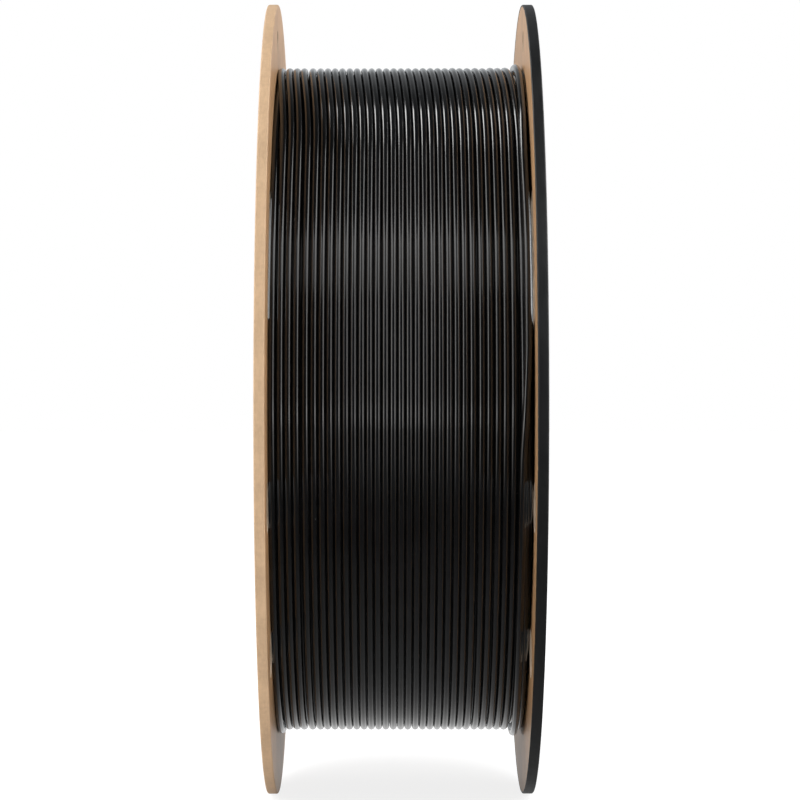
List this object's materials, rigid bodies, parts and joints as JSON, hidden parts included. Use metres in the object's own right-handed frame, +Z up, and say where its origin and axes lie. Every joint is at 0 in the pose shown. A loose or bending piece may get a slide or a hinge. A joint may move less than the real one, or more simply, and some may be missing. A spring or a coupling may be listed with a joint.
{
  "type": "filament spool",
  "caption": "Cardboard spool with laminated flanges and a paper tube core, wound full of black printer filament.",
  "frame": {"origin": "middle of the bore, halfway between the flanges' outer faces", "axes": "+X along the bore from the kraft flange to the black one, +Z up with the spool standing on its rims"},
  "size_m": [0.0665, 0.2, 0.2],
  "materials": {
    "kraft_board": "board with an uncoated kraft face, matte",
    "black_board": "board with a black paper face, matte",
    "kraft_edging": "uncoated kraft paper, matte",
    "black_edging": "black paper, matte, a little worn",
    "tube_kraft": "spiral kraft paper ply, matte",
    "tube_board": "spiral board plies, matte",
    "dried_glue": "dried white glue, satin",
    "filament": "glossy black filament"
  },
  "bodies": {
    "root": {"filament_inner_layers": "filament", "filament_outer_layer": "filament", "filament_start": "filament", "left_glue_fillet": "dried_glue", "left_inner_disc": "kraft_board", "left_outer_disc": "kraft_board", "left_rim_edging": "kraft_edging", "right_glue_fillet": "dried_glue", "right_inner_disc": "kraft_board", "right_outer_disc": "black_board", "right_rim_edging": "black_edging", "tube_body_plies": "tube_board", "tube_inner_ply": "tube_kraft", "tube_outer_ply": "tube_kraft"}
  },
  "joints": []
}
